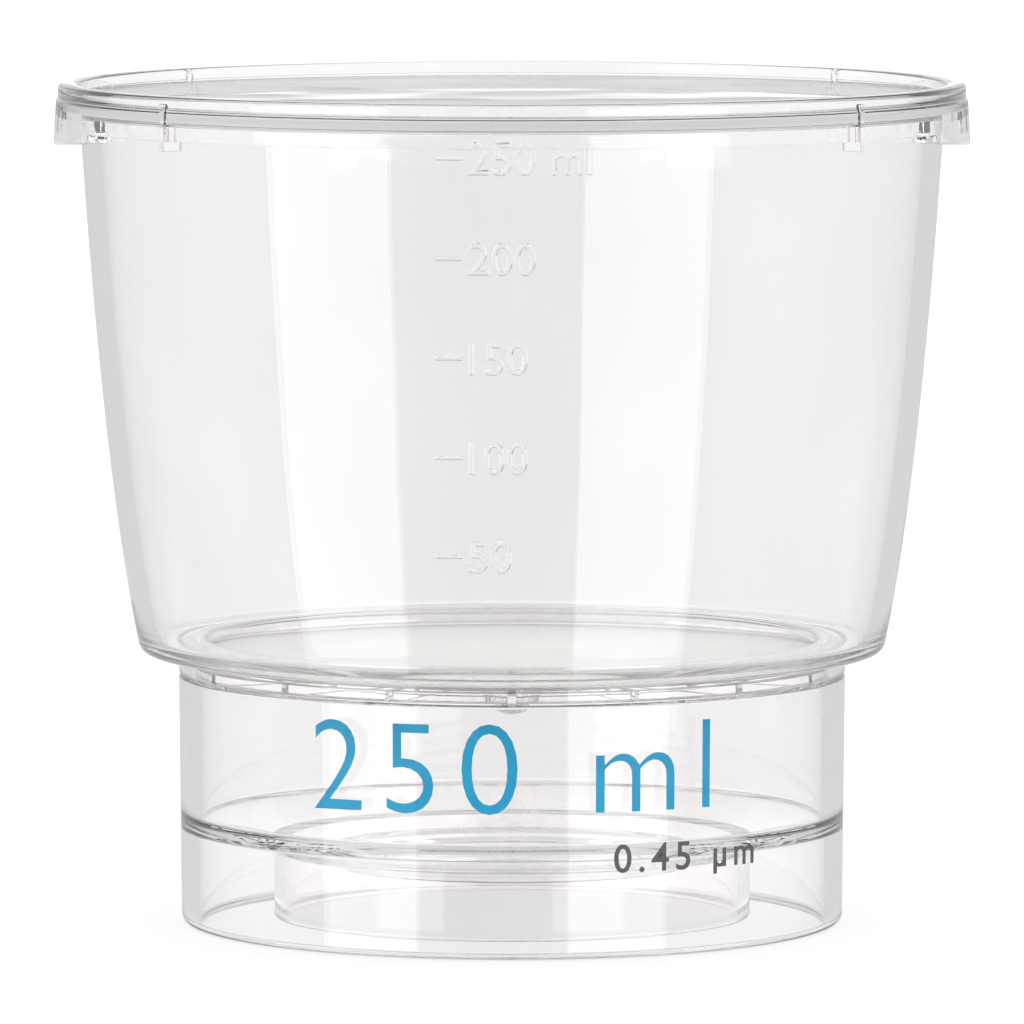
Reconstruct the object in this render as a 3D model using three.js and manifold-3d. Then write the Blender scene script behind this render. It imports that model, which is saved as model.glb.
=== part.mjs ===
// Bottle-top vacuum filtration unit: a clear polystyrene funnel with a loose lid, a membrane
// on a drop-in support grid, and a collar that screws onto a laboratory bottle.
// Millimetres, +Z up, the foot of the collar on z = 0, the hose nozzle at the back (+Y).
import * as THREE from 'three';
import { mergeVertices } from 'three/addons/utils/BufferGeometryUtils.js';
import Module from 'manifold-3d';

const wasm = await Module();
wasm.setup();

// ---- Driving dimensions -------------------------------------------------------------------

const ROUND = 60;              // sides of the large round forms
const SMALL_ROUND = 24;        // sides of the port, the nozzle, its plug and the grid's hub
const TAB_STEPS = 12;          // steps along a lifting tab's curved foot
const FINE = 2;                // steps in a rounded corner
const WALL_STEPS = 6;          // steps up the bowed wall
const SEAT_GAP = 0.3;          // clearance where one piece rests in or on another
const CUT_MARGIN = 1.0;        // how far a cutter runs past what it cuts
const edgeRound = 0.2;         // softened moulding edge
const lipRound = 0.4;          // rounded lip
const innerFillet = 0.7;       // fillet inside a corner
const mouldDraft = 0.1;        // taper of short upright faces

const membraneRadius = 31.5;
const membraneThickness = 0.4;
const membraneMargin = 0.2;    // grid's rim past the membrane
const membraneClamp = 0.8;     // width of the edge that the funnel's floor covers

const gridThickness = 0.95;
const gridRimLap = 0.6;        // rim inside the collar's bore, where the ribs run into it
const gridRibWidth = 0.9;
const gridRibDepth = 1.25;
const gridHubRadius = 2.6;
const gridRingCount = 4;
const gridBranchRing = 2;      // ring from which the second order of spokes starts
const gridInnerSpokes = 8;

const collarHeight = 24.85;
const collarWall = 2.3;
const collarDraft = 0.25;      // how much narrower the collar's foot is than its top
const skirtWall = 1.8;
const footRound = 1.0;

const floorOuterHeight = 11.0; // drain floor where it meets the collar's wall
const floorSlope = 0.245;      // rise per millimetre of radius
const floorThickness = 1.3;
const drainRadius = 15.4;
const drainLeadIn = 1.4;       // bevel from the sloping floor into the drain

const socketRadius = 22.6;     // clears the thread of a 45 mm bottle neck
const socketWall = 1.2;
const socketFootHeight = 0.8;
const bottleSeatHeight = 6.4;
const bottleSeatRadius = 18.8; // flat ring for the bottle's rim; outside it the floor slopes on
const sealBeadRadius = 17.4;
const sealBead = 0.5;

const funnelHeight = 56.0;     // from the seam with the collar to the rim
const funnelFlare = 5.85;      // rim's outside past the foot's
const funnelWall = 1.9;
const funnelFloor = 1.5;
const funnelBow = 1.6;         // how far the wall's curve leans outward
const funnelBowAt = 1 / 3;     // height of that lean as a share of the wall
const spigotWall = 1.35;
const shoulderWidth = 3.95;
const shoulderRound = 1.4;

const lidOverhang = 2.55;      // skirt's outside past the funnel's rim
const lidPanel = 1.2;
const lidSkirtWall = 1.5;
const lidSkirtDrop = 1.7;      // skirt below the panel's underside
const lidSkirtFlare = 0.25;    // tabs' foot past the skirt's top
const lidRingRise = 1.4;
const lidRingWidth = 1.9;
const ringRound = 0.5;         // ring's outer top edge
const lidRingInset = 0.45;     // ring's outside behind the skirt's
const lidStep = 0.2;           // small ledge between skirt and ring
const lugWidth = 0.7;
const lugProud = 0.05;         // lug's outside past the skirt's
const lugRise = 0.75;          // lug above the panel, on the ring's outside
const lugDrop = 1.0;           // centring lug below the skirt
const lugAzimuth = 48.0;       // degrees either side of front and back
const tabHalfWidth = 18.5;
const tabDrop = 1.7;           // middle of the tab below the skirt
const tabEndRise = 0.95;       // ends of the tab's curved foot above its middle
const tabRoot = 0.3;           // depth to which the tab's lining runs into the skirt

const portBelowTop = 0.4;      // collar's wall left above the port's boss
const portBore = 2.4;
const portBossRadius = 3.4;
const portBossReach = 2.0;
const nozzleBore = 1.4;
const nozzleWall = 0.8;
const nozzleFlange = 3.2;
const nozzleFlangeThickness = 1.5;
const barbLead = 1.6;          // plain stem between flange and barbs
const barbRise = 0.8;
const barbLength = 3.1;
const barbCount = 2;
const plugLength = 5.0;

// ---- Levels and radii that follow from them -----------------------------------------------

const seamTop = collarHeight + SEAT_GAP;
const gridTop = seamTop + gridThickness;
const membraneTop = gridTop + SEAT_GAP + membraneThickness;
const shoulderHeight = membraneTop + SEAT_GAP;
const funnelFloorTop = shoulderHeight + funnelFloor;
const rimHeight = seamTop + funnelHeight;
const lidUnderside = rimHeight + SEAT_GAP;
const skirtFootHeight = lidUnderside - lidSkirtDrop;

const gridRadius = membraneRadius + membraneMargin;
const spigotInner = gridRadius + SEAT_GAP;
const collarTopRadius = spigotInner + spigotWall;
const collarFootRadius = collarTopRadius - collarDraft;
const collarInner = collarTopRadius - collarWall;
const skirtInner = collarFootRadius - skirtWall;
const funnelOpening = membraneRadius - membraneClamp;
const funnelFootRadius = collarTopRadius + shoulderWidth;
const funnelRimRadius = funnelFootRadius + funnelFlare;
const lidRadius = funnelRimRadius + lidOverhang;
const portHeight = collarHeight - portBelowTop - portBossRadius;
const nozzleStem = nozzleBore + nozzleWall;

// ---- Geometry helpers ---------------------------------------------------------------------

/** Turns a closed three.js geometry into a manifold solid. */
function toSolid(geometry) {
  const bare = geometry.clone();
  bare.deleteAttribute('normal');
  bare.deleteAttribute('uv');
  const merged = mergeVertices(bare, 1e-4);
  const kept = [];
  const index = merged.index.array;
  for (let i = 0; i < index.length; i += 3) {
    const [a, b, c] = index.slice(i, i + 3);
    if (a !== b && b !== c && c !== a) kept.push(a, b, c);
  }
  return new wasm.Manifold(new wasm.Mesh({
    numProp: 3,
    vertProperties: new Float32Array(merged.attributes.position.array),
    triVerts: new Uint32Array(kept),
  }));
}

/** Turns a manifold solid back into a three.js geometry. */
function toGeometry(solid) {
  const mesh = solid.getMesh();
  const geometry = new THREE.BufferGeometry();
  geometry.setAttribute('position', new THREE.BufferAttribute(mesh.vertProperties, 3));
  geometry.setIndex(new THREE.BufferAttribute(mesh.triVerts, 1));
  geometry.computeVertexNormals();
  return geometry;
}

/** A corner of an outline in the radius-height plane, rounded when round is above zero. */
function corner(r, z, round = 0) {
  return { at: new THREE.Vector2(r, z), round };
}

/** A corner whose edge to the next corner leans out by bow, at the given share of its length. */
function bowed(r, z, bow, share) {
  return { at: new THREE.Vector2(r, z), round: 0, bow, share };
}

function roundedCorner(before, here, after) {
  if (!here.round) return [here.at];
  const start = here.at.clone().add(before.at.clone().sub(here.at).setLength(here.round));
  const end = here.at.clone().add(after.at.clone().sub(here.at).setLength(here.round));
  return new THREE.QuadraticBezierCurve(start, here.at, end).getPoints(FINE);
}

function bowedEdge(here, after) {
  const control = here.at.clone().lerp(after.at, here.share);
  control.x += here.bow;
  return new THREE.QuadraticBezierCurve(here.at, control, after.at).getPoints(WALL_STEPS).slice(1, -1);
}

/** The points of a closed outline, listed anticlockwise in the radius-height plane. */
function outline(corners) {
  const points = [];
  corners.forEach((here, i) => {
    const before = corners[(i + corners.length - 1) % corners.length];
    const after = corners[(i + 1) % corners.length];
    points.push(...roundedCorner(before, here, after));
    if (here.bow) points.push(...bowedEdge(here, after));
  });
  return points;
}

/** Revolves a closed outline about +Z. */
function turned(corners, sides = ROUND) {
  const points = outline(corners);
  points.push(points[0].clone());
  return new THREE.LatheGeometry(points, sides).rotateX(Math.PI / 2);
}

/** A flat ring, or a disc when the inner radius is zero. */
function ring(inner, outer, low, high, sides = ROUND) {
  return turned([corner(inner, low), corner(outer, low), corner(outer, high), corner(inner, high)], sides);
}

/** A block standing radially at an azimuth counted from +X. */
function radialBlock(inner, outer, width, low, high, azimuth) {
  const block = new THREE.BoxGeometry(outer - inner, width, high - low);
  block.translate((inner + outer) / 2, 0, (low + high) / 2);
  return block.rotateZ(azimuth);
}

/** The outline of the lifting tabs seen from the side, run right across the lid. */
function tabWindow(foot, top) {
  const reach = lidRadius + CUT_MARGIN;
  const shape = new THREE.Shape();
  shape.moveTo(-tabHalfWidth, foot + tabEndRise);
  shape.quadraticCurveTo(0, foot - tabEndRise, tabHalfWidth, foot + tabEndRise);
  shape.lineTo(tabHalfWidth, top);
  shape.lineTo(-tabHalfWidth, top);
  const settings = { depth: 2 * reach, bevelEnabled: false, curveSegments: TAB_STEPS };
  const slab = new THREE.ExtrudeGeometry(shape, settings);
  return slab.translate(0, 0, -reach).rotateX(Math.PI / 2).rotateZ(Math.PI / 2);
}

/** A cylinder along +Y at the port's height. */
function portCylinder(radius, start, end) {
  const cylinder = new THREE.CylinderGeometry(radius, radius, end - start, SMALL_ROUND);
  return cylinder.translate(0, (start + end) / 2, portHeight);
}

// ---- Sub-parts ----------------------------------------------------------------------------

/** Height of the drain floor's upper face at a radius. */
function floorAt(radius) {
  return floorOuterHeight - floorSlope * (collarInner - radius);
}

/** Collar: outer wall and skirt, sloping drain floor, bottle socket and the port's boss. */
function collarGeometry() {
  const drainTop = drainRadius + drainLeadIn;
  const socketOuter = socketRadius + socketWall;
  const body = toSolid(turned([
    corner(skirtInner, 0),
    corner(collarFootRadius, 0, footRound),
    corner(collarTopRadius, collarHeight, edgeRound),
    corner(collarInner, collarHeight),
    corner(collarInner, floorOuterHeight, innerFillet),
    corner(drainTop, floorAt(drainTop)),
    corner(drainRadius, bottleSeatHeight),
    corner(sealBeadRadius - sealBead, bottleSeatHeight),
    corner(sealBeadRadius, bottleSeatHeight - sealBead),
    corner(sealBeadRadius + sealBead, bottleSeatHeight),
    corner(bottleSeatRadius, bottleSeatHeight),
    corner(socketRadius, floorAt(socketRadius) - floorThickness),
    corner(socketRadius, socketFootHeight, lipRound),
    corner(socketOuter, socketFootHeight, lipRound),
    corner(socketOuter, floorAt(socketOuter) - floorThickness),
    corner(skirtInner, floorOuterHeight - floorThickness, innerFillet),
  ]));
  const bossStart = collarTopRadius - collarWall / 2;
  const bossEnd = collarTopRadius + portBossReach;
  const boss = toSolid(portCylinder(portBossRadius, bossStart, bossEnd));
  const bore = toSolid(portCylinder(portBore, collarInner - collarWall, bossEnd + collarWall));
  return toGeometry(body.add(boss).subtract(bore));
}

/** Support grid: a rim that lies on the collar's top, a hub, rings and two orders of radial ribs. */
function supportGridGeometry() {
  const ribEnd = collarInner - SEAT_GAP;
  const rimInner = ribEnd - gridRimLap;
  const ribLow = gridTop - gridRibDepth;
  const pitch = (rimInner - gridHubRadius) / (gridRingCount + 1);
  const branchRadius = gridHubRadius + gridBranchRing * pitch;
  let grid = toSolid(ring(rimInner, gridRadius, gridTop - gridThickness, gridTop));
  grid = grid.add(toSolid(ring(0, gridHubRadius, ribLow, gridTop, SMALL_ROUND)));
  for (let i = 1; i <= gridRingCount; i += 1) {
    const radius = gridHubRadius + i * pitch;
    grid = grid.add(toSolid(ring(radius - gridRibWidth / 2, radius + gridRibWidth / 2,
      gridTop - gridThickness, gridTop, ROUND / 2)));
  }
  const spokes = 2 * gridInnerSpokes;
  for (let i = 0; i < spokes; i += 1) {
    const inner = i % 2 === 0 ? gridHubRadius / 2 : branchRadius;
    const angle = (i / spokes) * 2 * Math.PI;
    grid = grid.add(toSolid(radialBlock(inner, ribEnd, gridRibWidth, ribLow, gridTop, angle)));
  }
  return toGeometry(grid);
}

/** Membrane: the filter disc clamped between the funnel's floor and the support grid. */
function membraneGeometry() {
  return toGeometry(toSolid(ring(0, membraneRadius, membraneTop - membraneThickness, membraneTop)));
}

/** Funnel: spigot over the grid, shoulder, bowed wall and a rounded rim. */
function funnelGeometry() {
  const wallStart = shoulderHeight + shoulderRound;
  const lean = (funnelRimRadius - funnelFootRadius) / (rimHeight - shoulderHeight);
  const startRadius = funnelFootRadius + lean * shoulderRound;
  const innerFoot = startRadius - funnelWall;
  return toGeometry(toSolid(turned([
    corner(funnelOpening, shoulderHeight, edgeRound),
    corner(spigotInner, shoulderHeight),
    corner(spigotInner, seamTop),
    corner(collarTopRadius, seamTop, edgeRound),
    corner(collarTopRadius, shoulderHeight, lipRound),
    corner(funnelFootRadius, shoulderHeight, shoulderRound),
    bowed(startRadius, wallStart, funnelBow, funnelBowAt),
    corner(funnelRimRadius, rimHeight, lipRound),
    bowed(funnelRimRadius - funnelWall, rimHeight, funnelBow, 1 - funnelBowAt),
    corner(innerFoot, funnelFloorTop, innerFillet),
    corner(funnelOpening, funnelFloorTop, lipRound),
  ])));
}

/** Lid: panel, raised stacking ring, skirt, four centring lugs and two lifting tabs. */
function lidGeometry() {
  const panelTop = lidUnderside + lidPanel;
  const ledge = panelTop - lidStep;
  const ringTop = panelTop + lidRingRise;
  const ringOuter = lidRadius - lidRingInset;
  const ringInner = ringOuter - lidRingWidth;
  const skirtInside = lidRadius - lidSkirtWall;
  const tabFoot = skirtFootHeight - tabDrop;
  const blankFoot = tabFoot - CUT_MARGIN;
  const blank = toSolid(turned([
    corner(0, lidUnderside),
    corner(skirtInside, lidUnderside, lipRound),
    corner(skirtInside, blankFoot),
    corner(lidRadius + lidSkirtFlare * (tabFoot - blankFoot) / (ledge - tabFoot), blankFoot),
    corner(lidRadius - lidSkirtFlare, ledge),
    corner(ringOuter, panelTop),
    corner(ringOuter, ringTop, ringRound),
    corner(ringInner, ringTop, lipRound),
    corner(ringInner - mouldDraft, panelTop, lipRound),
    corner(0, panelTop),
  ]));
  const lugInner = funnelRimRadius + SEAT_GAP;
  const tabs = toSolid(tabWindow(tabFoot, panelTop));
  const trim = toSolid(ring(skirtInside - CUT_MARGIN, lidRadius + CUT_MARGIN,
    blankFoot - CUT_MARGIN, skirtFootHeight));
  const lining = toSolid(ring(lugInner, skirtInside + tabRoot, blankFoot, panelTop - lidPanel / 2));
  let lid = blank.subtract(trim.subtract(tabs)).add(lining.intersect(tabs));
  for (const side of [-1, 1]) {
    for (const end of [-90, 90]) {
      const azimuth = THREE.MathUtils.degToRad(end + side * lugAzimuth);
      lid = lid.add(toSolid(radialBlock(lugInner, lidRadius + lugProud, lugWidth,
        skirtFootHeight - lugDrop, panelTop + lugRise, azimuth)));
    }
  }
  return toGeometry(lid);
}

/** Hose nozzle: push-in tail, flange and barbed stem, turned about +Z and laid along +Y. */
function hoseNozzleGeometry() {
  const tail = collarWall + portBossReach;
  const flangeFace = SEAT_GAP + nozzleFlangeThickness;
  const barbStart = flangeFace + barbLead;
  const corners = [
    corner(nozzleBore, -tail, edgeRound),
    corner(portBore - SEAT_GAP, -tail, edgeRound),
    corner(portBore - SEAT_GAP, SEAT_GAP),
    corner(nozzleFlange, SEAT_GAP, lipRound),
    corner(nozzleFlange, flangeFace, lipRound),
    corner(nozzleStem, flangeFace, lipRound),
  ];
  for (let i = 0; i < barbCount; i += 1) {
    const foot = barbStart + i * barbLength;
    corners.push(corner(nozzleStem, foot));
    corners.push(corner(nozzleStem + barbRise, foot));
    corners.push(corner(nozzleStem, foot + barbLength - edgeRound));
  }
  const tip = barbStart + barbCount * barbLength;
  corners.push(corner(nozzleStem, tip));
  corners.push(corner(nozzleBore, tip));
  return toGeometry(toSolid(turned(corners, SMALL_ROUND)));
}

/** Port plug: a short fibre plug inside the nozzle's bore. */
function portPlugGeometry() {
  return toGeometry(toSolid(ring(0, nozzleBore - SEAT_GAP, 0, plugLength, SMALL_ROUND)));
}

// ---- Materials ----------------------------------------------------------------------------

const clear = { color: 0xf1f4f5, roughness: 0.05, metalness: 0, transparent: true, opacity: 0.35 };
const materials = {
  lid: new THREE.MeshStandardMaterial(clear),
  funnel: new THREE.MeshStandardMaterial(clear),
  collar: new THREE.MeshStandardMaterial(clear),
  membrane: new THREE.MeshStandardMaterial({ color: 0xf6f6f3, roughness: 0.8, metalness: 0 }),
  grid: new THREE.MeshStandardMaterial(clear),
  nozzle: new THREE.MeshStandardMaterial(clear),
  plug: new THREE.MeshStandardMaterial({ color: 0xf4f2ec, roughness: 0.95, metalness: 0 }),
};

// ---- Assembly -----------------------------------------------------------------------------

function named(name, geometry, material) {
  const mesh = new THREE.Mesh(geometry, material);
  mesh.name = name;
  return mesh;
}

function sidePort() {
  const port = new THREE.Group();
  port.position.set(0, collarTopRadius + portBossReach, portHeight);
  port.rotation.x = -Math.PI / 2;
  port.add(named('hose_nozzle', hoseNozzleGeometry(), materials.nozzle));
  port.add(named('port_plug', portPlugGeometry(), materials.plug));
  return port;
}

function filtrationUnit() {
  const unit = new THREE.Group();
  unit.add(named('collar', collarGeometry(), materials.collar));
  unit.add(named('support_grid', supportGridGeometry(), materials.grid));
  unit.add(named('membrane', membraneGeometry(), materials.membrane));
  unit.add(named('funnel', funnelGeometry(), materials.funnel));
  unit.add(named('lid', lidGeometry(), materials.lid));
  unit.add(sidePort());
  return unit;
}

export default filtrationUnit();
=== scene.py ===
"""Looks of a bottle-top vacuum filtration unit in clear moulded polystyrene.

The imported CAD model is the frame: every size and place here comes from its nodes' boxes and from
the named values below. Lengths named in millimetres are turned to metres by MM.
"""

import math

import bpy
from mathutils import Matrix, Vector

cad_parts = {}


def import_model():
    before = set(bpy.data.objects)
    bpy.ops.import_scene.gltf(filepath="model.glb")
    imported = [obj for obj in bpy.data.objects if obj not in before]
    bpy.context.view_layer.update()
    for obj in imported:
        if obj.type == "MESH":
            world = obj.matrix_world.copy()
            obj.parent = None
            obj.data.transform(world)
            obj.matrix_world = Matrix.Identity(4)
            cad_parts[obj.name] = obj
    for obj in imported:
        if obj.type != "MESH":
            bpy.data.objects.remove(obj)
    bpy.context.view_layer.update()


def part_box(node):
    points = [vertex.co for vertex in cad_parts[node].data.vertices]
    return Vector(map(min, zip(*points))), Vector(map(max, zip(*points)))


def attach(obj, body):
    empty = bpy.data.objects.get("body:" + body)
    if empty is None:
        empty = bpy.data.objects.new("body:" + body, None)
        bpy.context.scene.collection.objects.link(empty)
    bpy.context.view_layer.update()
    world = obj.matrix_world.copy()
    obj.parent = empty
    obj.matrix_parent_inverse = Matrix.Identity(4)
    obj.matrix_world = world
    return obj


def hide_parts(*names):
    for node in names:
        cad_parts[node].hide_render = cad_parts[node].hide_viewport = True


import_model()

MM = 0.001
SIDES = 256  # sides of a turned form
ROUND_STEPS = 5  # steps in a rounded edge
WALL_STEPS = 20  # rings up the bowed wall
SMOOTH_ANGLE = 35  # edges sharper than this stay crisp


# ---- Levels and radii read from the frame ---------------------------------------------------

funnel_low, funnel_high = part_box("funnel")
membrane_low, membrane_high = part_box("membrane")
grid_low, grid_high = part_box("support_grid")
collar_low, collar_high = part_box("collar")
nozzle_low, nozzle_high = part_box("hose_nozzle")

FOOT = collar_low.z
COLLAR_TOP = collar_high.z
SEAM_TOP = funnel_low.z
RIM = funnel_high.z
LID_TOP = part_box("lid")[1].z
COLLAR_RADIUS = collar_high.x
RIM_RADIUS = funnel_high.x
GRID_RADIUS = grid_high.x
PORT_HEIGHT = (nozzle_low.z + nozzle_high.z) / 2
PORT_FACE = collar_high.y

# Sizes of the mouldings.
EDGE = 0.2 * MM  # softened moulding edge
LIP = 0.4 * MM  # rounded lip
SEAT_GAP = 0.3 * MM

COLLAR_WALL = 2.3 * MM
COLLAR_DRAFT = 0.25 * MM
SKIRT_WALL = 1.8 * MM
FOOT_ROUND = 1.0 * MM
FLOOR_HEIGHT = 11.0 * MM
FLOOR_SLOPE = 0.245
FLOOR_THICKNESS = 1.3 * MM
FLOOR_FILLET = 0.3 * MM
DRAIN_RADIUS = 15.4 * MM
DRAIN_LEAD_IN = 1.4 * MM
SOCKET_RADIUS = 22.6 * MM
SOCKET_WALL = 1.2 * MM
SOCKET_FOOT = 0.8 * MM
BOTTLE_SEAT = 6.4 * MM
BOTTLE_SEAT_RADIUS = 18.8 * MM
BEAD_RADIUS = 17.4 * MM
BEAD = 0.5 * MM

FUNNEL_FOOT_RADIUS = 37.3 * MM
FUNNEL_WALL = 1.9 * MM
FUNNEL_OPENING = 30.7 * MM
FUNNEL_FLOOR = 1.5 * MM
FUNNEL_BOW = 1.6 * MM
FUNNEL_BOW_AT = 1 / 3
FLOOR_CORNER = 0.7 * MM
SPIGOT_INNER = 32.0 * MM
SHOULDER = 27.1 * MM
SHOULDER_ROUND = 1.4 * MM

LID_RADIUS = 45.7 * MM
LID_PANEL = 1.2 * MM
LID_RING_WIDTH = 1.9 * MM
LID_RING_INSET = 0.45 * MM
LID_RING_ROUND = 0.5 * MM
LID_SKIRT_WALL = 1.5 * MM
LID_SKIRT_DROP = 1.7 * MM
LID_SKIRT_FLARE = 0.25 * MM
LID_STEP = 0.2 * MM
LID_DRAFT = 0.1 * MM
LUG_WIDTH = 0.7 * MM
LUG_PROUD = 0.05 * MM
LUG_RISE = 0.75 * MM
LUG_DROP = 1.0 * MM
LUG_AZIMUTH = 48.0
TAB_HALF_WIDTH = 18.5 * MM
TAB_DROP = 1.7 * MM
TAB_END_RISE = 0.95 * MM
TAB_ROOT = 0.3 * MM
TAB_WINDOW_SIDES = 1024
CUT_MARGIN = 1.0 * MM
FLAT_MARGIN = 1.0 * MM  # flat left beside a corner before the cap

GRID_PLATE = 0.95 * MM
GRID_RIB_END = 30.75 * MM
GRID_RIM_INNER = 30.15 * MM
GRID_HUB = 2.6 * MM
GRID_RIB = 0.9 * MM
GRID_RINGS = 4
GRID_BRANCH_RING = 2
GRID_SPOKES = 16
GRID_SIDES = 128
HUB_SIDES = 64

PORT_BORE = 2.4 * MM
PORT_BOSS_RADIUS = 3.4 * MM
PORT_BOSS_REACH = 2.0 * MM
NOZZLE_BORE = 1.4 * MM
NOZZLE_STEM = 2.2 * MM
NOZZLE_FLANGE = 3.2 * MM
NOZZLE_FLANGE_THICKNESS = 1.5 * MM
BARB_LEAD = 1.6 * MM
BARB_RISE = 0.8 * MM
BARB_LENGTH = 3.1 * MM
BARBS = 2
PLUG_LENGTH = 5.0 * MM
PLUG_SIDES = 48
PLUG_GRAIN = 0.12 * MM
WISP_SIZE = 0.5 * MM
WISP_DEPTH = 0.2 * MM
PORT_SIDES = 64

# Volume scale on the funnel: raised marks, each a short line with its number to the right.
SCALE_NUMBERS = ("50", "100", "150", "200", "250 ml")
SCALE_FIRST = 40.1 * MM  # height of the lowest line
SCALE_STEP = 9.67 * MM
SCALE_LINE = (-7.5 * MM, -4.7 * MM)  # along the wall, from the front
SCALE_LINE_WIDTH = 0.4 * MM
SCALE_DIGITS_AT = -4.2 * MM
SCALE_DIGITS_DROP = 1.55 * MM  # foot of the digits below the line
SCALE_SIZE = 4.43 * MM
SCALE_PROUD = 0.24 * MM
SCALE_SLOPE = 0.13 * MM  # width of the sloping edge

# Ink on the collar: the text, its left end round from the front, its foot, its size, its spacing and
# how much its strokes are thinned or, below 0, thickened.
VOLUME_TEXT = ("250 ml", -20.6 * MM, 14.3 * MM, 13.1 * MM, 1.2, 0.14 * MM)
PORE_TEXT = ("0.45 \u00b5m", 10.1 * MM, 8.5 * MM, 3.93 * MM, 1.3, -0.04 * MM)
INK_GAP = 0.02 * MM
INK_THICKNESS = 0.03 * MM
WRAP_STEP = 1.0 * MM  # between the cuts that let flat work bend
WRAP_START = 0.013 * MM  # keeps the cuts off the letters' own corners
WELD = 0.002 * MM  # corners closer than this become one
CUT_REACH = 0.0001 * MM  # corners this close to a cut lie on it
LETTER_STEPS = 5  # steps in each curve of a letter
OUTSIDE = 100 * MM  # from the axis, clear of every wall


# ---- Modelling helpers ----------------------------------------------------------------------


def deselect():
    bpy.ops.object.select_all(action="DESELECT")


def make_active(piece):
    deselect()
    piece.select_set(True)
    bpy.context.view_layer.objects.active = piece


def corner(r, z, rounding=0.0):
    return (Vector((r, z)), rounding, 0.0, 0.0)


def bowed(r, z, bow, share):
    """A corner whose edge to the next corner leans out by bow, at that share of its length."""
    return (Vector((r, z)), 0.0, bow, share)


def curve_points(start, control, end, steps):
    points = []
    for i in range(steps + 1):
        t = i / steps
        points.append(start * (1 - t) ** 2 + control * 2 * t * (1 - t) + end * t**2)
    return points


def outline(corners):
    """Radius and height of each ring, anticlockwise, with its round corners and bowed edges."""
    points = []
    for i, (here, rounding, bow, share) in enumerate(corners):
        before = corners[i - 1][0]
        after = corners[(i + 1) % len(corners)][0]
        if rounding:
            start = here + (before - here).normalized() * rounding
            end = here + (after - here).normalized() * rounding
            points += curve_points(start, here, end, ROUND_STEPS)
        else:
            points.append(here)
        if bow:
            control = here.lerp(after, share) + Vector((bow, 0))
            points += curve_points(here, control, after, WALL_STEPS)[1:-1]
    return points


def turned(name, corners, sides=SIDES, capped=False):
    """Extrudes a circle from ring to ring up an outline. A closed outline bridges its last ring to
    its first, and a capped one closes both ends with a flat face."""
    rings = outline(corners)
    deselect()
    first = rings[0]
    bpy.ops.mesh.primitive_circle_add(vertices=sides, radius=first.x, location=(0, 0, first.y))
    piece = bpy.context.object
    bpy.ops.object.transform_apply(location=True, rotation=False, scale=False)
    bpy.ops.object.mode_set(mode="EDIT")
    bpy.ops.mesh.select_all(action="SELECT")
    for last, here in zip(rings, rings[1:]):
        bpy.ops.mesh.extrude_region_move(TRANSFORM_OT_translate={"value": (0, 0, here.y - last.y)})
        grow = here.x / last.x
        bpy.ops.transform.resize(value=(grow, grow, 1), center_override=(0, 0, here.y))
    bpy.ops.mesh.select_all(action="DESELECT")
    bpy.ops.mesh.select_mode(type="EDGE")
    bpy.ops.mesh.select_non_manifold(use_wire=False, use_multi_face=False, use_non_contiguous=False,
                                     use_verts=False)
    if capped:
        bpy.ops.mesh.fill_holes(sides=0)
    else:
        bpy.ops.mesh.bridge_edge_loops()
    bpy.ops.mesh.select_all(action="SELECT")
    bpy.ops.mesh.normals_make_consistent(inside=False)
    bpy.ops.object.mode_set(mode="OBJECT")
    piece.name = name
    piece.data.name = name
    return piece


def ring(name, inner, outer, low, high, sides=SIDES):
    """A flat ring with softened edges."""
    edge = EDGE / 2
    return turned(name, [corner(inner, low, edge), corner(outer, low, edge),
                         corner(outer, high, edge), corner(inner, high, edge)], sides)


def applied(piece, kind, **settings):
    """Adds a modifier with its settings and applies it."""
    make_active(piece)
    modifier = piece.modifiers.new(kind.title(), kind)
    for key, value in settings.items():
        setattr(modifier, key, value)
    bpy.ops.object.modifier_apply(modifier=modifier.name)
    return piece


def combined(operation, piece, others):
    """Joins others to a piece, cuts them from it or keeps what they share, in one boolean."""
    group = bpy.data.collections.new("others")
    for other in others:
        group.objects.link(other)
    applied(piece, "BOOLEAN", operation=operation, solver="MANIFOLD", operand_type="COLLECTION",
            collection=group)
    for other in others:
        bpy.data.objects.remove(other)
    bpy.data.collections.remove(group)
    return piece


def turn(piece, azimuth):
    piece.rotation_euler.z = math.radians(azimuth)
    make_active(piece)
    bpy.ops.object.transform_apply(location=False, rotation=True, scale=False)


def around(piece, azimuths):
    """Copies of a piece, each with its own mesh, turned about the axis in place of the piece."""
    copies = []
    for azimuth in azimuths:
        make_active(piece)
        bpy.ops.object.duplicate()
        copies.append(bpy.context.object)
        turn(copies[-1], azimuth)
    bpy.data.objects.remove(piece)
    return copies


def bar(inner, outer, width, low, high):
    """A bevelled bar lying along +X."""
    deselect()
    bpy.ops.mesh.primitive_cube_add(size=1, location=((inner + outer) / 2, 0, (low + high) / 2))
    piece = bpy.context.object
    piece.scale = (outer - inner, width, high - low)
    bpy.ops.object.transform_apply(location=True, rotation=False, scale=True)
    return applied(piece, "BEVEL", width=EDGE / 2, segments=2)


def laid_back(piece):
    """Lays a piece turned about +Z along +Y, with its foot on the port's face."""
    piece.rotation_euler.x = math.radians(-90)
    piece.location = (0, PORT_FACE, PORT_HEIGHT)
    make_active(piece)
    bpy.ops.object.transform_apply(location=True, rotation=True, scale=False)
    return piece


def upright(piece):
    """Stands a flat piece up to face the front."""
    piece.rotation_euler.x = math.radians(90)
    make_active(piece)
    bpy.ops.object.transform_apply(location=False, rotation=True, scale=False)
    return piece


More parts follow.
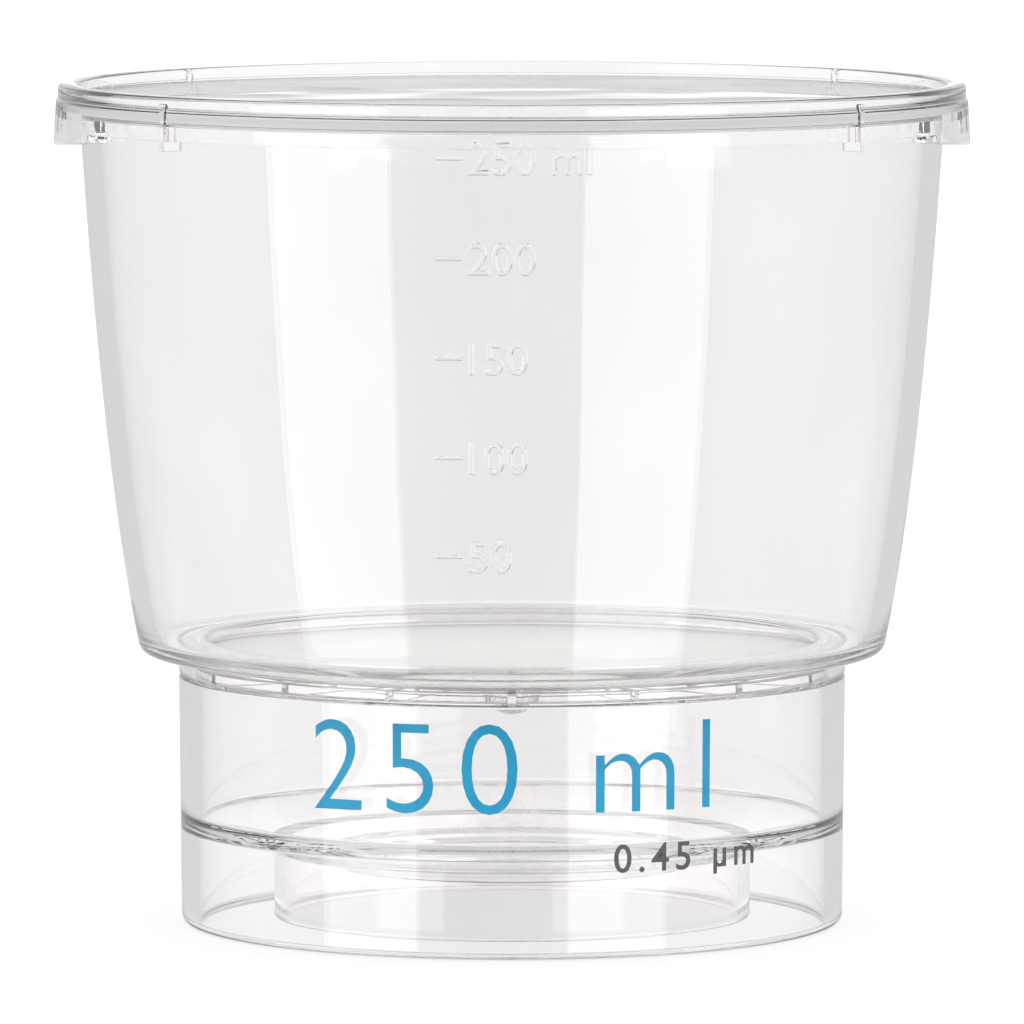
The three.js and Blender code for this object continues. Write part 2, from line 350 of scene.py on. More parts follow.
def words(text, size, spacing=1.0, thinning=0.0, depth=0.0, slope=0.0):
    """Upright lettering, its left edge at x = 0 and its foot at z = 0: flat, or with depth on each
    side of the flat and edges that slope back over the last of it."""
    deselect()
    bpy.ops.object.text_add()
    font = bpy.context.object.data
    font.body = text
    font.size = size
    font.space_character = spacing
    font.offset = -thinning
    font.extrude = depth
    font.bevel_depth = slope
    font.bevel_resolution = 0
    font.resolution_u = LETTER_STEPS
    bpy.ops.object.convert(target="MESH")
    piece = upright(bpy.context.object)
    shifted(piece, -min(vertex.co.x for vertex in piece.data.vertices), 0)
    return piece


def shifted(piece, along, up, back=0.0):
    piece.location = (along, back, up)
    make_active(piece)
    bpy.ops.object.transform_apply(location=True, rotation=False, scale=False)
    return piece


def wall_radius(shell, height):
    """The outer radius of a turned shell at a height, met by a ray from the front."""
    return -shell.ray_cast((0, -OUTSIDE, height), (0, 1, 0))[1].y


def wrapped(piece, shell):
    """Leans upright work as the turned shell's outer wall leans, and bends it round that wall."""
    make_active(piece)
    along = [vertex.co.x for vertex in piece.data.vertices]
    up = [vertex.co.z for vertex in piece.data.vertices]
    low, high = min(up), max(up)
    radius = wall_radius(shell, (low + high) / 2)
    lean = math.atan2(wall_radius(shell, high) - wall_radius(shell, low), high - low)
    piece.location.z = -(low + high) / 2
    bpy.ops.object.transform_apply(location=True, rotation=False, scale=False)
    piece.rotation_euler.x = lean
    piece.location.z = (low + high) / 2
    bpy.ops.object.transform_apply(location=True, rotation=True, scale=False)
    bpy.ops.object.mode_set(mode="EDIT")
    bpy.ops.mesh.select_all(action="SELECT")
    bpy.ops.mesh.remove_doubles(threshold=WELD)
    for cut in range(math.ceil(min(along) / WRAP_STEP), math.ceil(max(along) / WRAP_STEP)):
        bpy.ops.mesh.select_all(action="SELECT")
        bpy.ops.mesh.bisect(
            plane_co=(cut * WRAP_STEP + WRAP_START, 0, 0), plane_no=(1, 0, 0), threshold=CUT_REACH)
    bpy.ops.mesh.select_all(action="SELECT")
    bpy.ops.mesh.normals_make_consistent(inside=False)
    bpy.ops.object.mode_set(mode="OBJECT")
    applied(piece, "SIMPLE_DEFORM", deform_method="BEND", deform_axis="Z",
            angle=(max(along) - min(along)) / radius)
    shifted(piece, 0, 0, -radius)
    return piece


def laid_on(piece, shell, clearance, thickness):
    """Lays flat work that is bent round a shell just off its outer wall, and thickens it outwards."""
    applied(piece, "SHRINKWRAP", target=shell, wrap_method="NEAREST_SURFACEPOINT",
            wrap_mode="ABOVE_SURFACE", offset=clearance)
    applied(piece, "SOLIDIFY", thickness=thickness, offset=1)
    bpy.ops.object.mode_set(mode="EDIT")
    bpy.ops.mesh.select_all(action="SELECT")
    bpy.ops.mesh.normals_make_consistent(inside=False)
    bpy.ops.object.mode_set(mode="OBJECT")
    return piece


def finished(piece, material, slot_name, body, *nodes):
    """Smooth shading, material and place in the frame."""
    make_active(piece)
    bpy.ops.object.shade_smooth_by_angle(angle=math.radians(SMOOTH_ANGLE))
    applied(piece, "WEIGHTED_NORMAL", keep_sharp=True)
    piece.data.materials.clear()
    piece.data.materials.append(material)
    if nodes:
        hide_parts(*nodes)
    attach(piece, body)
    return piece


# ---- Materials ------------------------------------------------------------------------------

SPOTS_SPAN = {"From Min": 0.3, "From Max": 0.7}  # where nearly all of a pattern's values lie


def linear(hex_colour):
    """An sRGB hex colour as linear RGBA."""
    channels = [int(hex_colour[i : i + 2], 16) / 255 for i in (1, 3, 5)]
    levels = [c / 12.92 if c <= 0.04045 else ((c + 0.055) / 1.055) ** 2.4 for c in channels]
    return (*levels, 1.0)


def add_node(tree, kind, settings, links=None):
    """Adds a node. Settings are its properties or its inputs' values, and links feed its inputs, by
    name or, where a name repeats, by number."""
    node = tree.nodes.new(kind)
    for key, value in settings.items():
        if isinstance(key, int) or key in node.inputs:
            node.inputs[key].default_value = value
        else:
            setattr(node, key, value)
    for key, source in (links or {}).items():
        tree.links.new(source, node.inputs[key])
    return node


def spots(tree, size, detail=2.0, stretch=(1, 1, 1)):
    """Soft spots about that many metres across, drawn on the piece's own coordinates."""
    place = add_node(tree, "ShaderNodeTexCoord", {})
    drawn = add_node(tree, "ShaderNodeMapping", {"Scale": stretch}, {"Vector": place.outputs["Object"]})
    pattern = add_node(tree, "ShaderNodeTexNoise", {"Scale": 1 / size, "Detail": detail},
                       {"Vector": drawn.outputs[0]})
    return pattern.outputs["Fac"]


def coloured(tree, shader, pattern, dark, light):
    """Lets the colour drift between two close ones with a pattern."""
    share = add_node(tree, "ShaderNodeMapRange", SPOTS_SPAN, {"Value": pattern})
    colour = add_node(tree, "ShaderNodeMix", {"data_type": "RGBA", 6: linear(dark), 7: linear(light)},
                      {"Factor": share.outputs["Result"]})
    tree.links.new(colour.outputs[2], shader.inputs["Base Color"])


def grained(tree, shader, pattern, smooth, rough, relief):
    """Lets the roughness drift between two values with a pattern, whose spots also stand out from
    the surface by up to relief metres in the shading."""
    haze = add_node(tree, "ShaderNodeMapRange", {**SPOTS_SPAN, "To Min": smooth, "To Max": rough},
                    {"Value": pattern})
    tree.links.new(haze.outputs["Result"], shader.inputs["Roughness"])
    bump = add_node(tree, "ShaderNodeBump", {"Strength": 1.0, "Distance": relief}, {"Height": pattern})
    tree.links.new(bump.outputs["Normal"], shader.inputs["Normal"])


def new_material(name):
    material = bpy.data.materials.new(name)
    material.use_nodes = True
    return material, material.node_tree, material.node_tree.nodes["Principled BSDF"]


def clear_polystyrene():
    """Crystal polystyrene, injection-moulded in a polished tool. It is water-clear and neutral, it
    reflects sharply, and its surface keeps a very shallow swell, about 14 mm from crest to crest,
    where the melt shrank as it cooled."""
    material, tree, shader = new_material("clear_moulded_polystyrene")
    shader.inputs["IOR"].default_value = 1.59
    shader.inputs["Transmission Weight"].default_value = 1.0
    shader.inputs["Roughness"].default_value = 0.0
    swell = spots(tree, 14 * MM, detail=0.0)
    coloured(tree, shader, swell, "#F1F0F0", "#F3F2F2")
    bump = add_node(tree, "ShaderNodeBump", {"Strength": 1.0, "Distance": 0.02 * MM}, {"Height": swell})
    tree.links.new(bump.outputs["Normal"], shader.inputs["Normal"])
    return material


def filter_membrane():
    """Polyethersulfone cast as a porous film. It is matt and milk-white and lets a little light
    through. Its pores are under a micrometre, so the grain is drawn 0.25 mm wide to show at all."""
    material, tree, shader = new_material("polyethersulfone_membrane")
    shader.inputs["Specular IOR Level"].default_value = 0.2
    shader.inputs["Transmission Weight"].default_value = 0.15
    coloured(tree, shader, spots(tree, 6 * MM), "#F8F8F6", "#FCFCFA")
    grained(tree, shader, spots(tree, 0.25 * MM, detail=3.0), 0.7, 0.9, 0.02 * MM)
    return material


def printed_ink(name, dark, light):
    """Pad-printing ink, a satin film. It takes up the pad's fine orange peel, about 0.3 mm wide, and
    its density drifts a little over a few millimetres."""
    material, tree, shader = new_material(name)
    coloured(tree, shader, spots(tree, 3 * MM), dark, light)
    grained(tree, shader, spots(tree, 0.3 * MM), 0.38, 0.5, 0.004 * MM)
    return material


def plug_fibre():
    """Bonded polyester fibre cut from a rod. It is dull white, and its strands run along the bore,
    about 0.12 mm thick here, which is coarser than the real ones so that they show."""
    material, tree, shader = new_material("bonded_polyester_fibre")
    shader.inputs["Specular IOR Level"].default_value = 0.2
    strands = spots(tree, 0.12 * MM, detail=3.0, stretch=(1, 0.12, 1))
    coloured(tree, shader, strands, "#E6E3DC", "#F6F4EE")
    grained(tree, shader, strands, 0.8, 1.0, 0.05 * MM)
    return material


CLEAR = clear_polystyrene()
MEMBRANE = filter_membrane()
BLUE_INK = printed_ink("blue_pad_print", "#0B8AB4", "#1B94BE")
GREY_INK = printed_ink("grey_pad_print", "#4C4C4C", "#585856")
FIBRE = plug_fibre()


# ---- Collar ---------------------------------------------------------------------------------

COLLAR_INNER = COLLAR_RADIUS - COLLAR_WALL


def floor_at(radius):
    return FLOOR_HEIGHT - FLOOR_SLOPE * (COLLAR_INNER - radius)


def collar():
    foot_radius = COLLAR_RADIUS - COLLAR_DRAFT
    skirt_inner = foot_radius - SKIRT_WALL
    drain_top = DRAIN_RADIUS + DRAIN_LEAD_IN
    socket_outer = SOCKET_RADIUS + SOCKET_WALL
    moulding = turned(
        "collar_moulding",
        [
            corner(skirt_inner, FOOT, EDGE),
            corner(foot_radius, FOOT, FOOT_ROUND),
            corner(COLLAR_RADIUS, COLLAR_TOP, EDGE),
            corner(COLLAR_INNER, COLLAR_TOP, EDGE),
            corner(COLLAR_INNER, FLOOR_HEIGHT, FLOOR_FILLET),
            corner(drain_top, floor_at(drain_top), FLOOR_FILLET),
            corner(DRAIN_RADIUS, BOTTLE_SEAT, EDGE),
            corner(BEAD_RADIUS - BEAD, BOTTLE_SEAT),
            corner(BEAD_RADIUS, BOTTLE_SEAT - BEAD, EDGE),
            corner(BEAD_RADIUS + BEAD, BOTTLE_SEAT),
            corner(BOTTLE_SEAT_RADIUS, BOTTLE_SEAT, FLOOR_FILLET),
            corner(SOCKET_RADIUS, floor_at(SOCKET_RADIUS) - FLOOR_THICKNESS, FLOOR_FILLET),
            corner(SOCKET_RADIUS, SOCKET_FOOT, LIP),
            corner(socket_outer, SOCKET_FOOT, LIP),
            corner(socket_outer, floor_at(socket_outer) - FLOOR_THICKNESS, LIP),
            corner(skirt_inner, FLOOR_HEIGHT - FLOOR_THICKNESS, FLOOR_FILLET),
        ],
    )
    boss = port_rod("boss", PORT_BOSS_RADIUS, -PORT_BOSS_REACH - COLLAR_WALL / 2, 0, LIP)
    combined("UNION", moulding, [boss])
    bore = port_rod("bore", PORT_BORE, -PORT_BOSS_REACH - 2 * COLLAR_WALL, COLLAR_WALL)
    return combined("DIFFERENCE", moulding, [bore])


# ---- Side port ------------------------------------------------------------------------------


def port_rod(name, radius, start, end, rounding=0.0):
    """A plain rod along the port, measured back from the port's face."""
    return laid_back(turned(name, [corner(radius / 2, start), corner(radius, start),
                                   corner(radius, end, rounding), corner(radius / 2, end)],
                            PORT_SIDES, capped=True))


def hose_nozzle():
    """Push-in tail, flange and barbed stem."""
    tail = COLLAR_WALL + PORT_BOSS_REACH
    flange_face = SEAT_GAP + NOZZLE_FLANGE_THICKNESS
    corners = [
        corner(NOZZLE_BORE, -tail, EDGE),
        corner(PORT_BORE - SEAT_GAP, -tail, EDGE),
        corner(PORT_BORE - SEAT_GAP, SEAT_GAP, EDGE / 2),
        corner(NOZZLE_FLANGE, SEAT_GAP, LIP),
        corner(NOZZLE_FLANGE, flange_face, LIP),
        corner(NOZZLE_STEM, flange_face, LIP),
    ]
    barb_start = flange_face + BARB_LEAD
    for i in range(BARBS):
        foot = barb_start + i * BARB_LENGTH
        corners.append(corner(NOZZLE_STEM, foot, EDGE / 2))
        corners.append(corner(NOZZLE_STEM + BARB_RISE, foot, EDGE / 2))
        corners.append(corner(NOZZLE_STEM, foot + BARB_LENGTH - EDGE))
    tip = barb_start + BARBS * BARB_LENGTH
    corners.append(corner(NOZZLE_STEM, tip, EDGE / 2))
    corners.append(corner(NOZZLE_BORE, tip, EDGE / 2))
    return laid_back(turned("nozzle_moulding", corners, PORT_SIDES))


def fibre_plug():
    """A wad of fibre in the nozzle's bore: a soft rod whose surface is pressed in unevenly."""
    radius = NOZZLE_BORE - SEAT_GAP
    wad = turned("fibre_wad", [corner(radius / 4, 0), corner(radius, 0, LIP),
                               corner(radius, PLUG_LENGTH, LIP), corner(radius / 4, PLUG_LENGTH)],
                 PLUG_SIDES, capped=True)
    applied(wad, "REMESH", mode="VOXEL", voxel_size=PLUG_GRAIN)
    wisps = bpy.data.textures.new("wisps", "CLOUDS")
    wisps.noise_scale = WISP_SIZE
    applied(wad, "DISPLACE", texture=wisps, texture_coords="LOCAL", mid_level=1.0, strength=WISP_DEPTH)
    bpy.data.textures.remove(wisps)
    return laid_back(wad)


# ---- Funnel ---------------------------------------------------------------------------------


def funnel():
    lean = (RIM_RADIUS - FUNNEL_FOOT_RADIUS) / (RIM - SHOULDER)
    start_radius = FUNNEL_FOOT_RADIUS + lean * SHOULDER_ROUND
    floor_top = SHOULDER + FUNNEL_FLOOR
    shell = turned(
        "funnel_moulding",
        [
            corner(FUNNEL_OPENING, SHOULDER, EDGE),
            corner(SPIGOT_INNER, SHOULDER, EDGE),
            corner(SPIGOT_INNER, SEAM_TOP, EDGE),
            corner(COLLAR_RADIUS, SEAM_TOP, EDGE),
            corner(COLLAR_RADIUS, SHOULDER, LIP),
            corner(FUNNEL_FOOT_RADIUS, SHOULDER, SHOULDER_ROUND),
            bowed(start_radius, SHOULDER + SHOULDER_ROUND, FUNNEL_BOW, FUNNEL_BOW_AT),
            corner(RIM_RADIUS, RIM, LIP),
            bowed(RIM_RADIUS - FUNNEL_WALL, RIM, FUNNEL_BOW, 1 - FUNNEL_BOW_AT),
            corner(start_radius - FUNNEL_WALL, floor_top, FLOOR_CORNER),
            corner(FUNNEL_OPENING, floor_top, LIP),
        ],
    )
    marks = [scale_mark(shell, numbers, SCALE_FIRST + i * SCALE_STEP)
             for i, numbers in enumerate(SCALE_NUMBERS)]
    return combined("UNION", shell, [part for mark in marks for part in mark])


def scale_mark(shell, numbers, height):
    """A raised line and its numbers on the funnel's outer wall."""
    deselect()
    bpy.ops.mesh.primitive_cube_add(size=1)
    line = bpy.context.object
    line.scale = (SCALE_LINE[1] - SCALE_LINE[0], 2 * SCALE_PROUD, SCALE_LINE_WIDTH)
    bpy.ops.object.transform_apply(location=False, rotation=False, scale=True)
    applied(line, "BEVEL", width=SCALE_SLOPE, segments=1)
    shifted(line, sum(SCALE_LINE) / 2, height)
    digits = words(numbers, SCALE_SIZE, 1.0, SCALE_SLOPE / 2, SCALE_PROUD - SCALE_SLOPE, SCALE_SLOPE)
    shifted(digits, SCALE_DIGITS_AT, height - SCALE_DIGITS_DROP)
    return [wrapped(part, shell) for part in (line, digits)]


# ---- Lid ------------------------------------------------------------------------------------


def tab_window(foot, top):
    """The lifting tabs' outline seen from the side, with its curved foot, run across the lid."""
    radius = (TAB_HALF_WIDTH**2 + TAB_END_RISE**2) / (2 * TAB_END_RISE)
    deselect()
    bpy.ops.mesh.primitive_cylinder_add(
        vertices=TAB_WINDOW_SIDES, radius=radius, depth=2 * (LID_RADIUS + CUT_MARGIN),
        location=(0, 0, foot + radius), rotation=(0, math.radians(90), 0))
    window = bpy.context.object
    bpy.ops.object.transform_apply(location=True, rotation=True, scale=False)
    bpy.ops.object.mode_set(mode="EDIT")
    for place, outward in (((0, 0, top), (0, 0, 1)), ((0, TAB_HALF_WIDTH, 0), (0, 1, 0)),
                           ((0, -TAB_HALF_WIDTH, 0), (0, -1, 0))):
        bpy.ops.mesh.select_all(action="SELECT")
        bpy.ops.mesh.bisect(plane_co=place, plane_no=outward, use_fill=True, clear_outer=True)
    bpy.ops.object.mode_set(mode="OBJECT")
    return window


def plain_ring(name, inner, outer, low, high):
    return turned(name, [corner(inner, low), corner(outer, low), corner(outer, high), corner(inner, high)])


def lid():
    """Panel, raised ring and a deep skirt in one outline. The skirt is trimmed away except at the
    two lifting tabs, which get a lining that reaches in to the funnel's rim."""
    underside = RIM + SEAT_GAP
    panel_top = underside + LID_PANEL
    ledge = panel_top - LID_STEP
    skirt_inside = LID_RADIUS - LID_SKIRT_WALL
    skirt_foot = underside - LID_SKIRT_DROP
    tab_foot = skirt_foot - TAB_DROP
    blank_foot = tab_foot - CUT_MARGIN
    ring_outer = LID_RADIUS - LID_RING_INSET
    ring_inner = ring_outer - LID_RING_WIDTH
    blank_flare = LID_SKIRT_FLARE * (tab_foot - blank_foot) / (ledge - tab_foot)
    shell = turned(
        "lid_moulding",
        [
            corner(skirt_inside - FLAT_MARGIN, underside),
            corner(skirt_inside, underside, LIP),
            corner(skirt_inside, blank_foot),
            corner(LID_RADIUS + blank_flare, blank_foot),
            corner(LID_RADIUS - LID_SKIRT_FLARE, ledge, EDGE / 2),
            corner(ring_outer, panel_top, EDGE / 2),
            corner(ring_outer, LID_TOP, LID_RING_ROUND),
            corner(ring_inner, LID_TOP, LIP),
            corner(ring_inner - LID_DRAFT, panel_top, LIP),
            corner(ring_inner - LID_DRAFT - FLAT_MARGIN, panel_top),
        ],
        capped=True,
    )
    trim = plain_ring("trim", skirt_inside - CUT_MARGIN, LID_RADIUS + CUT_MARGIN,
                      blank_foot - CUT_MARGIN, skirt_foot)
    combined("DIFFERENCE", trim, [tab_window(tab_foot, panel_top)])
    lug_inner = RIM_RADIUS + SEAT_GAP
    lining = plain_ring("lining", lug_inner, skirt_inside + TAB_ROOT, blank_foot, panel_top - LID_PANEL / 2)
    combined("INTERSECT", lining, [tab_window(tab_foot, panel_top)])
    combined("DIFFERENCE", shell, [trim])
    lug = bar(lug_inner, LID_RADIUS + LUG_PROUD, LUG_WIDTH, skirt_foot - LUG_DROP, panel_top + LUG_RISE)
    lugs = around(lug, [end + side * LUG_AZIMUTH for end in (-90, 90) for side in (-1, 1)])
    return combined("UNION", shell, [lining, *lugs])


# ---- Membrane and support grid --------------------------------------------------------------


def membrane():
    flat = membrane_high.x - FLAT_MARGIN / 2
    return turned(
        "membrane_disc",
        [
            corner(flat, membrane_low.z),
            corner(membrane_high.x, membrane_low.z, EDGE / 2),
            corner(membrane_high.x, membrane_high.z, EDGE / 2),
            corner(flat, membrane_high.z),
        ],
        capped=True,
    )


def support_grid():
    plate_low = grid_high.z - GRID_PLATE
    grid = ring("support_grid_moulding", GRID_RIM_INNER, GRID_RADIUS, plate_low, grid_high.z, GRID_SIDES)
    pitch = (GRID_RIM_INNER - GRID_HUB) / (GRID_RINGS + 1)
    members = []
    for i in range(1, GRID_RINGS + 1):
        radius = GRID_HUB + i * pitch
        inner, outer = radius - GRID_RIB / 2, radius + GRID_RIB / 2
        members.append(ring("ring", inner, outer, plate_low, grid_high.z, GRID_SIDES))
    edge = EDGE / 2
    members.append(turned("hub", [corner(GRID_HUB / 2, grid_low.z), corner(GRID_HUB, grid_low.z, edge),
                                  corner(GRID_HUB, grid_high.z, edge), corner(GRID_HUB / 2, grid_high.z)],
                          HUB_SIDES, capped=True))
    step = 360 / GRID_SPOKES
    long_spoke = bar(GRID_HUB / 2, GRID_RIB_END, GRID_RIB, grid_low.z, grid_high.z)
    members += around(long_spoke, [i * step for i in range(0, GRID_SPOKES, 2)])
    branch = GRID_HUB + GRID_BRANCH_RING * pitch
    short_spoke = bar(branch, GRID_RIB_END, GRID_RIB, grid_low.z, grid_high.z)
    members += around(short_spoke, [i * step for i in range(1, GRID_SPOKES, 2)])
    return combined("UNION", grid, members)


# ---- Printing on the collar -----------------------------------------------------------------


def print_on(shell, name, text, along, height, size, spacing, thinning):
    """A thin film of ink on the collar's outer wall, its left end that far round from the front."""
    ink = words(text, size, spacing, thinning)
    shifted(ink, along, height)
    laid_on(wrapped(ink, shell), shell, INK_GAP, INK_THICKNESS)
    ink.name = name
    ink.data.name = name
    return ink


clear_collar = collar()
volume_print = print_on(clear_collar, "volume_print", *VOLUME_TEXT)
pore_print = print_on(clear_collar, "pore_size_print", *PORE_TEXT)
finished(clear_collar, CLEAR, "clear_collar", "unit", "collar")
finished(volume_print, BLUE_INK, None, "unit")
finished(pore_print, GREY_INK, None, "unit")
finished(funnel(), CLEAR, "clear_funnel", "unit", "funnel")
finished(lid(), CLEAR, "clear_lid", "lid", "lid")
finished(membrane(), MEMBRANE, "membrane", "unit", "membrane")
finished(support_grid(), CLEAR, "grid", "unit", "support_grid")
finished(hose_nozzle(), CLEAR, "clear_nozzle", "unit", "hose_nozzle")
finished(fibre_plug(), FIBRE, "fibre", "unit", "port_plug")


# ---- Studio ---------------------------------------------------------------------------------

CAMERA_DISTANCE = 1.1
CAMERA_HEIGHT = 0.138
CAMERA_AIM = 0.041
CAMERA_LENS = 388.0
CAMERA_REACH = 100.0


def camera():
    data = bpy.data.cameras.new("camera")
    data.lens = CAMERA_LENS
    data.clip_end = CAMERA_REACH
    eye = bpy.data.objects.new("camera", data)
    bpy.context.scene.collection.objects.link(eye)
    eye.location = (0, -CAMERA_DISTANCE, CAMERA_HEIGHT)
    aim = Vector((0, 0, CAMERA_AIM)) - eye.location
    eye.rotation_euler = aim.to_track_quat("-Z", "Y").to_euler()
    bpy.context.scene.camera = eye


SHEET_SIZE = 20.0
SHEET_GAP = 0.05 * MM  # below the foot
SHEET_COLOUR = (0.15, 0.15, 0.15, 1)
SHEET_LEVEL = 0.77
OVERHEAD = 3.3
OVERHEAD_TURN = (0.4, 0.9)
# Levels of the room by how far a direction points back, of the backdrop by how far it points up,
# and of what is seen through the clear walls by how far it points right or up.
ROOM_LEVELS = ((-1.0, 0.1), (-0.92, 0.15), (-0.82, 0.3), (-0.3, 0.57), (0.1, 0.65), (1.0, 0.65))
BACKDROP_LEVELS = ((-0.1, 0.0), (-0.02, 0.0), (0.03, 0.62), (0.0485, 0.55), (0.0505, 0.0), (0.07, 0.05),
                   (0.1, 0.32), (0.25, 0.3), (0.4, 0.0))
BACKDROP_TURN = (0.5, 0.95)
# What is added past the first number of clear surfaces, up to the last value at the second number.
ANY_LIFT = (0, 1, 1.0)
SEEN_LIFT = (4, 12, 1.2)
ROOM_LIFT = (1, 9, 1.0)
# A painted pool of light on the floor under the clear walls, seen only through them: the last value out to
# the first distance from the object's middle, and nothing from the second distance on.
PAINTED_LIGHT_POOL = (0.03, 0.15, 0.3)
FLAG_RIGHT = ((-1.0, 0.0), (-0.66, 0.0), (-0.56, 0.4), (-0.44, 0.4), (-0.34, 0.0), (1.0, 0.0))
FLAG_ABOVE = ((-1.0, 0.0), (0.34, 0.0), (0.44, 0.4), (0.56, 0.4), (0.66, 0.0), (1.0, 0.0))


def studio_floor():
    """A matt sheet that glows nearly white. Reflections look past it, so that they show the room
    and the lamps."""
    deselect()
    bpy.ops.mesh.primitive_plane_add(size=SHEET_SIZE, location=(0, 0, FOOT - SHEET_GAP))
    plane = bpy.context.object
    plane.name = "studio_floor"
    material, tree, shader = new_material("matt_white_floor")
    shader.inputs["Base Color"].default_value = SHEET_COLOUR
    shader.inputs["Roughness"].default_value = 1.0
    shader.inputs["Specular IOR Level"].default_value = 0.0
    shader.inputs["Emission Color"].default_value = (1, 1, 1, 1)
    tree.links.new(sheet_level(tree), shader.inputs["Emission Strength"])
    path = add_node(tree, "ShaderNodeLightPath", {})
    looked_past = add_node(tree, "ShaderNodeMath", {"operation": "MAXIMUM", "use_clamp": True},
                           {0: path.outputs["Glossy Depth"], 1: path.outputs["Is Shadow Ray"]})
    clear = add_node(tree, "ShaderNodeBsdfTransparent", {})
    sheet = add_node(tree, "ShaderNodeMixShader", {},
                     {0: looked_past.outputs[0], 1: shader.outputs[0], 2: clear.outputs[0]})
    tree.links.new(sheet.outputs[0], tree.nodes["Material Output"].inputs["Surface"])
    plane.data.materials.append(material)


def sheet_level(tree):
    """The floor's own level, higher where it is seen through clear walls, and highest close under them, in
    a painted pool of light that stands in for the light they gather."""
    near, far, most = PAINTED_LIGHT_POOL
    place = add_node(tree, "ShaderNodeTexCoord", {})
    distance = add_node(tree, "ShaderNodeVectorMath", {"operation": "LENGTH"}, {0: place.outputs["Object"]})
    # Painted pool of light: extra glow close round the object's middle, seen only through the clear walls.
    under = add_node(tree, "ShaderNodeMapRange",
                     {"From Min": near, "From Max": far, "To Min": most, "To Max": 0.0},
                     {"Value": distance.outputs["Value"]})
    seen = add_node(tree, "ShaderNodeMath", {"operation": "MULTIPLY_ADD"},
                    {0: under.outputs["Result"], 1: lift(tree, *ANY_LIFT), 2: lift(tree, *SEEN_LIFT)})
    level = add_node(tree, "ShaderNodeMath", {"operation": "MULTIPLY_ADD", 1: SHEET_LEVEL, 2: SHEET_LEVEL},
                     {0: seen.outputs[0]})
    return level.outputs[0]


def lift(tree, low, high, most):
    """Nothing up to the low number of clear surfaces passed, and the most from the high one on."""
    path = add_node(tree, "ShaderNodeLightPath", {})
    passed = add_node(tree, "ShaderNodeMapRange", {"From Min": low, "From Max": high, "To Max": most},
                      {"Value": path.outputs["Transmission Depth"]})
    return passed.outputs["Result"]


def level_along(tree, direction, levels):
    """Reads a level off a list of places along a direction and the level at each."""
    low, high = levels[0][0], levels[-1][0]
    share = add_node(tree, "ShaderNodeMapRange", {"From Min": low, "From Max": high}, {"Value": direction})
    ramp = add_node(tree, "ShaderNodeValToRGB", {}, {"Fac": share.outputs["Result"]})
    stops = ramp.color_ramp.elements
    for at, _ in levels[1:-1]:
        stops.new((at - low) / (high - low))
    for stop, (_, level) in zip(stops, levels):
        stop.color = (level, level, level, 1)
    return ramp.outputs["Color"]


def room(tree, back, up):
    """What reflections see: a room that darkens towards the front, with a backdrop behind, and light
    from overhead on matt pieces only. Light that runs on inside the walls meets a brighter room."""
    path = add_node(tree, "ShaderNodeLightPath", {})
    behind = add_node(tree, "ShaderNodeMapRange",
                      {"From Min": BACKDROP_TURN[0], "From Max": BACKDROP_TURN[1]}, {"Value": back})
    walls = add_node(tree, "ShaderNodeMath", {"operation": "MULTIPLY_ADD"},
                     {0: level_along(tree, up, BACKDROP_LEVELS), 1: behind.outputs["Result"],
                      2: level_along(tree, back, ROOM_LEVELS)})
    ceiling = add_node(tree, "ShaderNodeMapRange",
                       {"From Min": OVERHEAD_TURN[0], "From Max": OVERHEAD_TURN[1], "To Max": OVERHEAD},
                       {"Value": up})
    on_matt = add_node(tree, "ShaderNodeMath", {"operation": "MINIMUM", 1: 1.0},
                       {0: path.outputs["Diffuse Depth"]})
    lit = add_node(tree, "ShaderNodeMath", {"operation": "MULTIPLY_ADD"},
                   {0: ceiling.outputs["Result"], 1: on_matt.outputs[0], 2: walls.outputs[0]})
    whole = add_node(tree, "ShaderNodeMath", {"operation": "ADD"},
                     {0: lit.outputs[0], 1: lift(tree, *ROOM_LIFT)})
    return whole.outputs[0]


def surroundings(tree, right, up):
    """What is seen straight or through the clear walls: white, less where flags stand beside and
    above, and brighter through many walls."""
    flags = add_node(tree, "ShaderNodeMath", {"operation": "ADD"},
                     {0: level_along(tree, right, FLAG_RIGHT), 1: level_along(tree, up, FLAG_ABOVE)})
    white = add_node(tree, "ShaderNodeMath", {"operation": "ADD", 1: 1.0}, {0: lift(tree, *SEEN_LIFT)})
    seen = add_node(tree, "ShaderNodeMath", {"operation": "SUBTRACT"},
                    {0: white.outputs[0], 1: flags.outputs[0]})
    return seen.outputs[0]


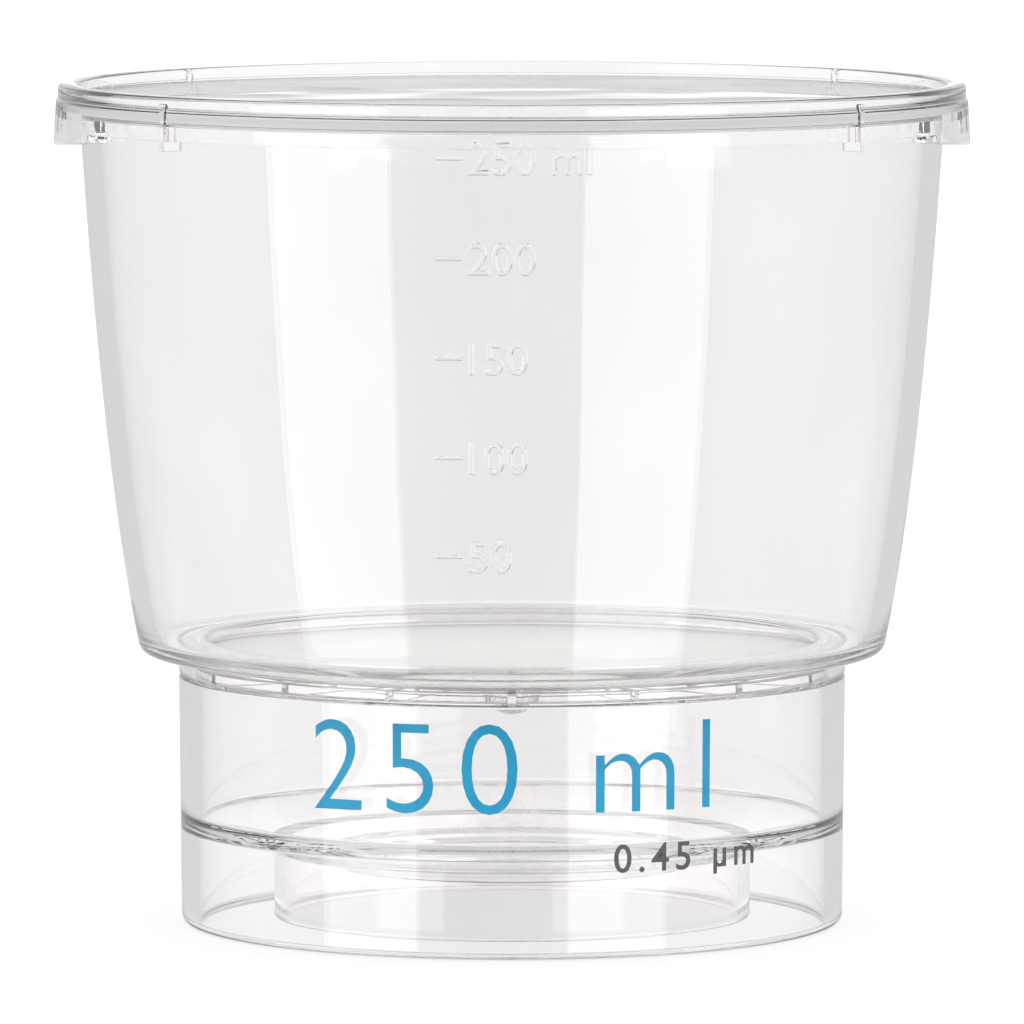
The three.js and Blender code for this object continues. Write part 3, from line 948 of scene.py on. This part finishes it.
def world():
    scene = bpy.context.scene
    scene.world = bpy.data.worlds.new("studio")
    scene.world.use_nodes = True
    tree = scene.world.node_tree
    background = tree.nodes["Background"]
    background.inputs["Color"].default_value = (1, 1, 1, 1)
    place = add_node(tree, "ShaderNodeTexCoord", {})
    axes = add_node(tree, "ShaderNodeSeparateXYZ", {}, {"Vector": place.outputs["Generated"]})
    right, back, up = axes.outputs
    path = add_node(tree, "ShaderNodeLightPath", {})
    reflected = add_node(tree, "ShaderNodeMath", {"operation": "ADD", "use_clamp": True},
                         {0: path.outputs["Glossy Depth"], 1: path.outputs["Diffuse Depth"]})
    level = add_node(tree, "ShaderNodeMix", {"data_type": "FLOAT"},
                     {"Factor": reflected.outputs[0], "A": surroundings(tree, right, up),
                      "B": room(tree, back, up)})
    tree.links.new(level.outputs["Result"], background.inputs["Strength"])


LAMPS = (("left_softbox", -50.4, 0.945), ("right_softbox", 37.0, 0.96))  # azimuth and width
LAMP_DISTANCE = 1.5
LAMP_HEIGHT = -0.36
LAMP_TALL = 0.98
LAMP_POWER = 4.0
LIGHT_BOUNCES = 24


def softbox(name, azimuth, width):
    """A tall lamp that faces the object. Most of it stands below the foot, as a glossy table would
    mirror it, so that its bands run down the front walls and not across the lid."""
    data = bpy.data.lights.new(name, "AREA")
    data.shape = "RECTANGLE"
    data.size = width
    data.size_y = LAMP_TALL
    data.energy = LAMP_POWER
    lamp = bpy.data.objects.new(name, data)
    bpy.context.scene.collection.objects.link(lamp)
    angle = math.radians(azimuth - 90)
    lamp.location = (LAMP_DISTANCE * math.cos(angle), LAMP_DISTANCE * math.sin(angle), LAMP_HEIGHT)
    aim = Vector((0, 0, LAMP_HEIGHT)) - lamp.location
    lamp.rotation_euler = aim.to_track_quat("-Z", "Y").to_euler()


def light_paths():
    """Enough bounces for light that runs inside the clear walls before it leaves them."""
    cycles = bpy.context.scene.cycles
    cycles.max_bounces = LIGHT_BOUNCES
    cycles.glossy_bounces = LIGHT_BOUNCES
    cycles.transmission_bounces = LIGHT_BOUNCES


bpy.context.scene.view_settings.view_transform = "Standard"
camera()
light_paths()
studio_floor()
world()
for lamp_name, lamp_azimuth, lamp_width in LAMPS:
    softbox(lamp_name, lamp_azimuth, lamp_width)
